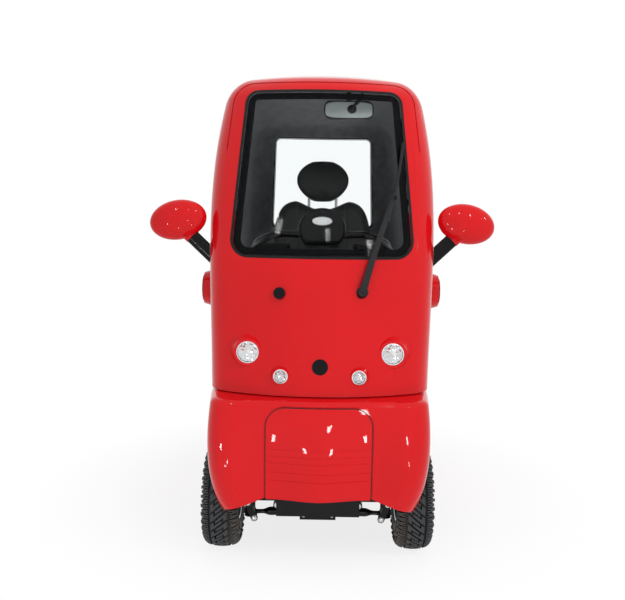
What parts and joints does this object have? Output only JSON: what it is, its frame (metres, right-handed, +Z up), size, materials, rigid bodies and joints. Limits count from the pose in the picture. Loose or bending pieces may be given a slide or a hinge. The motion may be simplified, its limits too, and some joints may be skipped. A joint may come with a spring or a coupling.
{
  "type": "enclosed mobility scooter",
  "caption": "Enclosed mobility scooter with a moulded cabin, wrap-round windscreen, rear-hinged doors, tiller steering and fat tyres under a separate nose cowl.",
  "frame": {"origin": "on the ground, at mid length and mid width", "axes": "+Z up, -Y to the front, +X to the vehicle's left"},
  "size_m": [1.1272, 1.653, 1.5958],
  "materials": {
    "red_paint": "gloss",
    "glass": "gloss",
    "lens": "gloss",
    "black_rubber": "satin",
    "chrome": "polished",
    "red_lens": "gloss",
    "black_plastic": "satin",
    "black_metal": "gloss",
    "grey_plastic": "matte",
    "white_plastic": "gloss",
    "seat_vinyl": "satin",
    "steel": "satin",
    "mirror": "polished",
    "tyre": "matte",
    "silver_rim": "satin"
  },
  "bodies": {
    "chassis": {"battery_box": "black_plastic", "body_shell": "red_paint", "cabin_mirror": "black_plastic", "cabin_tub": "grey_plastic", "chassis_frame": "black_metal", "front_suspension": "black_metal", "grab_handle": "black_plastic", "headrest": "seat_vinyl", "headrest_posts": "steel", "hinge_brackets": "black_metal", "lamp_cups": "chrome", "lamp_lenses": "lens", "mirror_arms": "black_plastic", "mirror_glasses": "mirror", "mirror_heads": "red_paint", "nose_badge": "black_plastic", "nose_cowl": "red_paint", "nose_panel": "red_paint", "rear_axle": "black_metal", "rear_bumper": "red_paint", "rear_shocks": "black_metal", "rear_window": "glass", "seat_back": "seat_vinyl", "seat_base": "black_metal", "seat_cushion": "seat_vinyl", "seat_hinge": "black_metal", "steering_column": "black_metal", "tail_lamps": "red_lens", "washer_jet": "black_plastic", "window_seals": "black_rubber", "windscreen": "glass", "wiper": "black_plastic"},
    "door_left": {"door_left_panel": "red_paint", "door_left_window": "glass", "door_left_latch": "black_plastic", "door_left_hinges": "black_metal"},
    "door_right": {"door_right_panel": "red_paint", "door_right_window": "glass", "door_right_latch": "black_plastic", "door_right_hinges": "black_metal"},
    "tiller": {"tiller_stem": "black_plastic", "tiller_head": "black_plastic", "tiller_badge": "white_plastic", "handlebar": "black_plastic"},
    "knuckle_left": {"knuckle_left": "black_metal"},
    "knuckle_right": {"knuckle_right": "black_metal"},
    "tie_rod": {"tie_rod": "black_metal"},
    "wheel_front_left": {"tyre_front_left": "tyre", "rim_front_left": "silver_rim"},
    "wheel_front_right": {"tyre_front_right": "tyre", "rim_front_right": "silver_rim"},
    "wheel_rear_left": {"tyre_rear_left": "tyre", "rim_rear_left": "silver_rim"},
    "wheel_rear_right": {"tyre_rear_right": "tyre", "rim_rear_right": "silver_rim"}
  },
  "joints": [
    {"name": "steering", "type": "hinge", "parent": "chassis", "child": "tiller", "pos_m": [0, -0.40447, 0.6], "axis": [0, 0.2079, 0.9781], "range_deg": [-40, 40]},
    {"name": "kingpin_left", "type": "hinge", "parent": "chassis", "child": "knuckle_left", "pos_m": [0.222, -0.575, 0.165], "axis": [0, 0, 1], "range_deg": [-28, 28]},
    {"name": "kingpin_right", "type": "hinge", "parent": "chassis", "child": "knuckle_right", "pos_m": [-0.222, -0.575, 0.165], "axis": [0, 0, 1], "range_deg": [-28, 28]},
    {"name": "tie_rod_pivot", "type": "hinge", "parent": "knuckle_left", "child": "tie_rod", "pos_m": [0.222, -0.48, 0.12], "axis": [0, 0, 1], "range_deg": [-28, 28]},
    {"name": "wheel_front_left_spin", "type": "hinge", "parent": "knuckle_left", "child": "wheel_front_left", "pos_m": [0.306, -0.575, 0.165], "axis": [1, 0, 0], "continuous": true},
    {"name": "wheel_front_right_spin", "type": "hinge", "parent": "knuckle_right", "child": "wheel_front_right", "pos_m": [-0.306, -0.575, 0.165], "axis": [1, 0, 0], "continuous": true},
    {"name": "wheel_rear_left_spin", "type": "hinge", "parent": "chassis", "child": "wheel_rear_left", "pos_m": [0.306, 0.545, 0.165], "axis": [1, 0, 0], "continuous": true},
    {"name": "wheel_rear_right_spin", "type": "hinge", "parent": "chassis", "child": "wheel_rear_right", "pos_m": [-0.306, 0.545, 0.165], "axis": [1, 0, 0], "continuous": true},
    {"name": "door_left_hinge", "type": "hinge", "parent": "chassis", "child": "door_left", "pos_m": [0.402, 0.316, 0.84], "axis": [0, 0, 1], "range_deg": [0, 70]},
    {"name": "door_right_hinge", "type": "hinge", "parent": "chassis", "child": "door_right", "pos_m": [-0.402, 0.316, 0.84], "axis": [0, 0, -1], "range_deg": [0, 70]}
  ],
  "couplings": [
    {"joint": "kingpin_left", "follows": "steering", "ratio": 0.7},
    {"joint": "kingpin_right", "follows": "steering", "ratio": 0.7},
    {"joint": "tie_rod_pivot", "follows": "steering", "ratio": -0.7}
  ]
}
